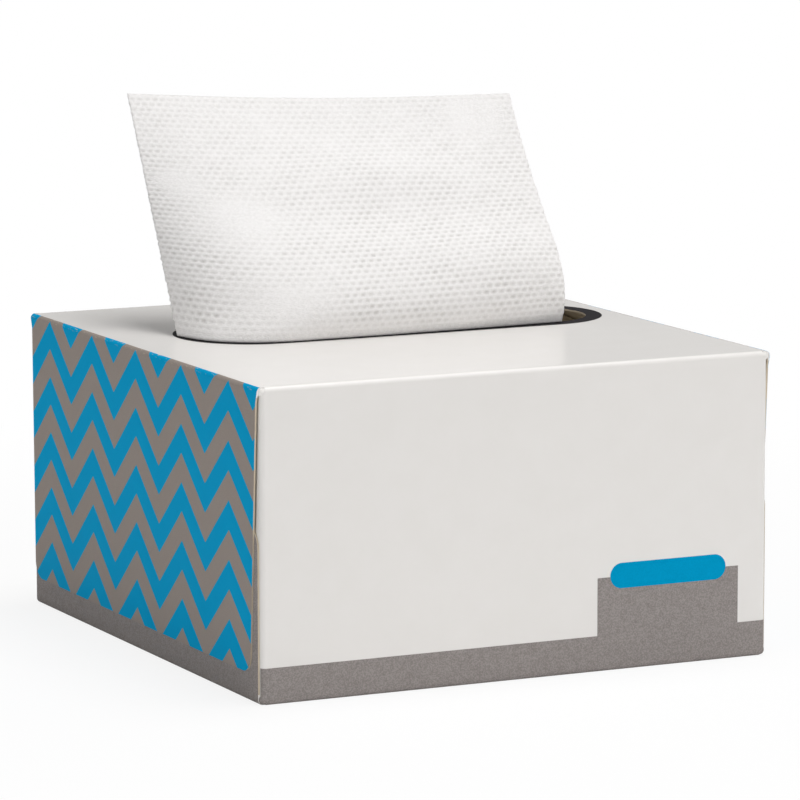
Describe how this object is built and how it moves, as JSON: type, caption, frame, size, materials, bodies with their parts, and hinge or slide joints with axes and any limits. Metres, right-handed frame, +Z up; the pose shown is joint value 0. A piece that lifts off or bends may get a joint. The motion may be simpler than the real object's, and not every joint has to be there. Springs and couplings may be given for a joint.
{
  "type": "tissue box",
  "caption": "Folded board carton of interfolded paper napkins, with the top napkin drawn up through a long oval opening in its top.",
  "frame": {"origin": "middle of the carton's base, on the surface that it stands on", "axes": "+X along the front wall to the right end, +Y from the front wall to the back, +Z up"},
  "size_m": [0.1672, 0.1742, 0.1626],
  "materials": {
    "white_board": "coated white board, satin, tan uncoated inside",
    "charcoal_ink": "printed colour under satin varnish",
    "blue_ink": "printed colour under satin varnish",
    "grey_ink": "printed colour under satin varnish",
    "tissue": "soft embossed tissue, matte"
  },
  "bodies": {
    "root": {"carton": "white_board", "opening_rim_print": "charcoal_ink", "zigzag_blue_left": "blue_ink", "zigzag_blue_right": "blue_ink", "zigzag_grey_left": "grey_ink", "zigzag_grey_right": "grey_ink", "base_band_front": "grey_ink", "base_band_back": "grey_ink", "base_band_left": "grey_ink", "base_band_right": "grey_ink", "front_block_print": "grey_ink", "front_pill_print": "blue_ink", "napkin_stack": "tissue", "pulled_napkin": "tissue"}
  },
  "joints": []
}
